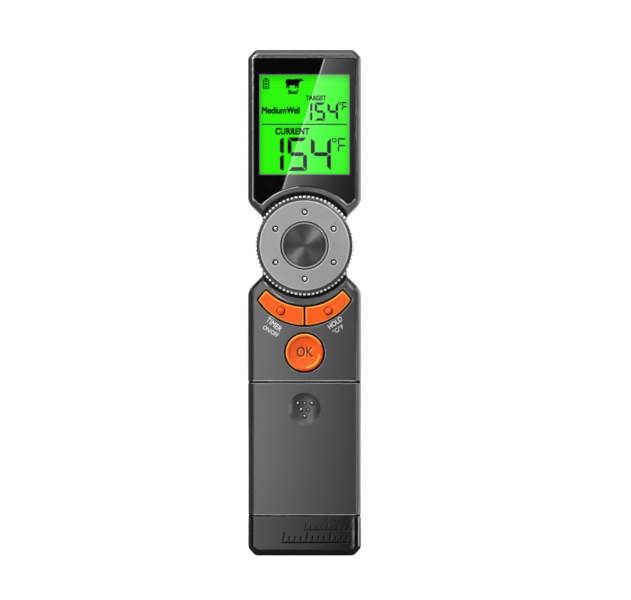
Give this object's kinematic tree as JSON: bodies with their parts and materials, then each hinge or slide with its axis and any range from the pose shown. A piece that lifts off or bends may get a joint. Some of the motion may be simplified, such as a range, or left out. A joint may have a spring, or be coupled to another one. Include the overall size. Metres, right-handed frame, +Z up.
{
  "type": "folding probe thermometer",
  "caption": "Handheld digital meat thermometer with display, knurled rotary dial, orange keys, tilting battery door and a folding steel probe.",
  "frame": {"origin": "centre of the footprint of the flat bottom end", "axes": "+Z up the body to the probe hinge, -Y out of the display side, +X to the reader's right"},
  "size_m": [0.04, 0.022, 0.1787],
  "materials": {
    "shell": "fine matte moulded dark grey",
    "door": "fine matte moulded dark grey",
    "endcap": "satin dark grey",
    "lens": "clear over black print, polished",
    "lcd": "lit green field with dark segments",
    "white_plastic": "moulded white",
    "board": "solder mask",
    "chip": "moulded black",
    "copper": "printed copper film",
    "steel": "drawn stainless",
    "dark_steel": "dark spun finish",
    "dial_face": "satin anodised grey",
    "knurl": "black, knurled",
    "orange": "satin orange",
    "rubber": "matt black",
    "cell": "plain blue wrap",
    "red": "insulated wire",
    "black_plastic": "moulded black",
    "magnet": "plated"
  },
  "bodies": {
    "housing": {"front_housing": "shell", "back_housing": "shell", "end_cap": "endcap", "body_seal_right": "rubber", "body_seal_left": "rubber", "display_lens": "lens", "lcd_glass": "lcd", "lcd_backlight": "white_plastic", "lcd_frame": "white_plastic", "lcd_flex_cable": "copper", "main_board": "board", "microcontroller": "chip", "buzzer": "black_plastic", "hinge_sensor": "chip", "keypad_mat": "rubber", "ok_switch": "steel", "timer_switch": "steel", "hold_switch": "steel", "dial_washer": "white_plastic", "encoder_body": "black_plastic", "battery_tray": "black_plastic", "battery_left": "cell", "battery_right": "cell", "contact_bridge": "steel", "contact_spring_lower": "steel", "contact_plate_positive": "steel", "contact_plate_negative": "steel", "contact_spring_upper": "steel", "battery_lead_red": "red", "battery_lead_black": "black_plastic", "probe_wire": "rubber", "hinge_pin": "steel", "hinge_washer_left": "white_plastic", "hinge_washer_right": "white_plastic", "magnet_right": "magnet", "magnet_left": "magnet", "head_screw_right": "steel", "head_screw_left": "steel", "grip_screw_right": "steel", "grip_screw_left": "steel", "end_screw_right": "steel", "end_screw_left": "steel"},
    "dial": {"dial_ring": "knurl", "dial_face": "dial_face", "dial_trim_ring": "steel", "dial_cap": "dark_steel", "encoder_shaft": "steel"},
    "ok_key": {"ok_button": "orange", "ok_switch_plunger": "black_plastic"},
    "timer_key": {"timer_button": "orange", "timer_switch_plunger": "black_plastic"},
    "hold_key": {"hold_button": "orange", "hold_switch_plunger": "black_plastic"},
    "battery_door": {"battery_door": "door"},
    "probe": {"probe_hub": "black_plastic", "probe_collar": "steel", "probe_tube": "steel", "hub_magnet": "magnet"}
  },
  "joints": [
    {"name": "dial_spin", "type": "hinge", "parent": "housing", "child": "dial", "pos_m": [0, -0.011, 0.10947], "axis": [0, -1, 0], "continuous": true},
    {"name": "ok_press", "type": "slide", "parent": "housing", "child": "ok_key", "axis": [0, 1, 0], "range_m": [0, 0.0006], "stiffness_N_per_m": 2500},
    {"name": "timer_press", "type": "slide", "parent": "housing", "child": "timer_key", "axis": [0, 1, 0], "range_m": [0, 0.0006], "stiffness_N_per_m": 2500},
    {"name": "hold_press", "type": "slide", "parent": "housing", "child": "hold_key", "axis": [0, 1, 0], "range_m": [0, 0.0006], "stiffness_N_per_m": 2500},
    {"name": "battery_door_tilt", "type": "hinge", "parent": "housing", "child": "battery_door", "pos_m": [0, -0.0096, 0.01435], "axis": [1, 0, 0], "range_deg": [0, 60]},
    {"name": "probe_fold", "type": "hinge", "parent": "housing", "child": "probe", "pos_m": [0, 0.0052, 0.173], "axis": [1, 0, 0], "range_deg": [0, 180]}
  ]
}
